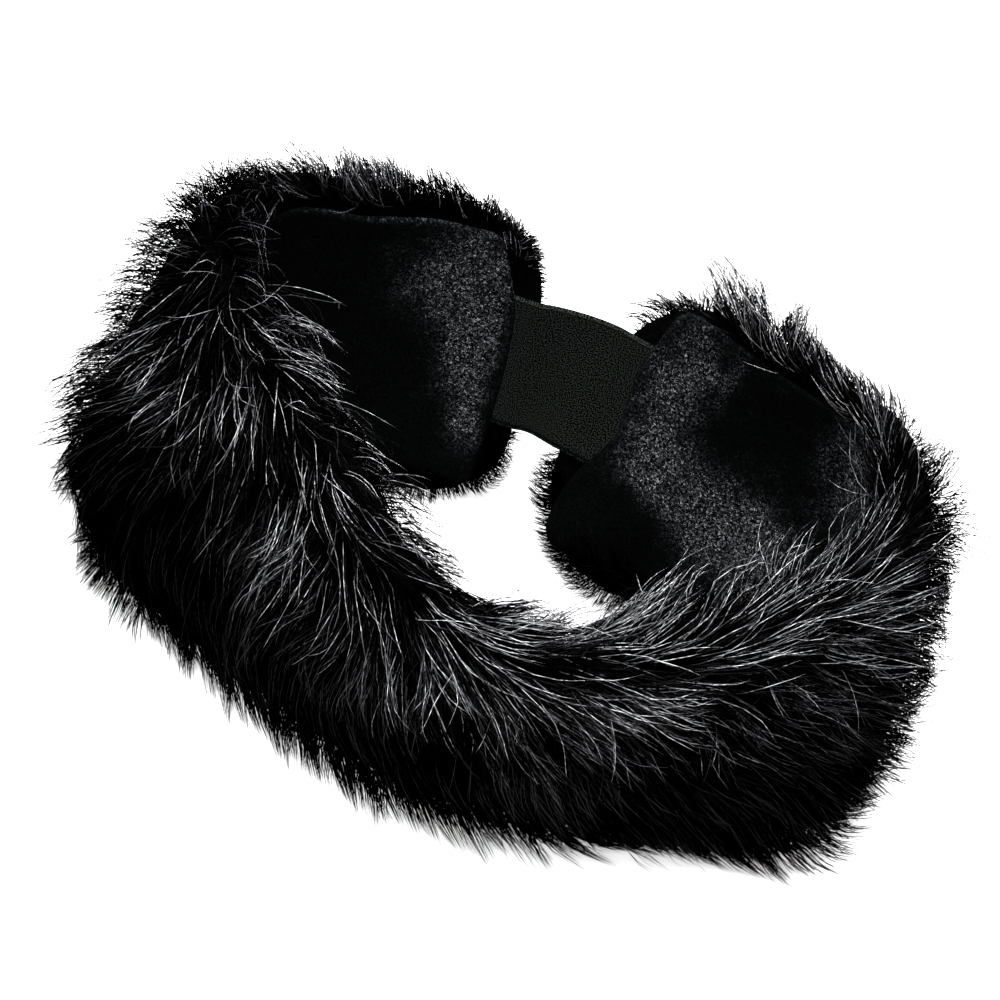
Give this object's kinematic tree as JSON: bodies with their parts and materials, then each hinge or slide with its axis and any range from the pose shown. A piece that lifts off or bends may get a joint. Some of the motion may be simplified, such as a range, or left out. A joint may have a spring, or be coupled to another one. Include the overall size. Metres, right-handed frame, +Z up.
{
  "type": "black faux fur headband",
  "caption": "Wide black faux fur headband with a plush lining, its two ends joined at the back by a strip of woven elastic, standing on its lower edge.",
  "frame": {"origin": "on the floor, under the middle of the bounding box", "axes": "+Z up from the lower fur edge the band stands on; -Y is the forehead side and +Y the elastic at the back; +X is the wearer's left"},
  "size_m": [0.2778, 0.1796, 0.1184],
  "materials": {
    "fur": "long-pile black faux fur with glossy guard hairs",
    "plush": "short velvet plush, black with a blue-grey sheen",
    "elastic_webbing": "matt black woven elastic"
  },
  "bodies": {
    "root": {"fur_band": "fur", "lining": "plush", "elastic": "elastic_webbing"}
  },
  "joints": []
}
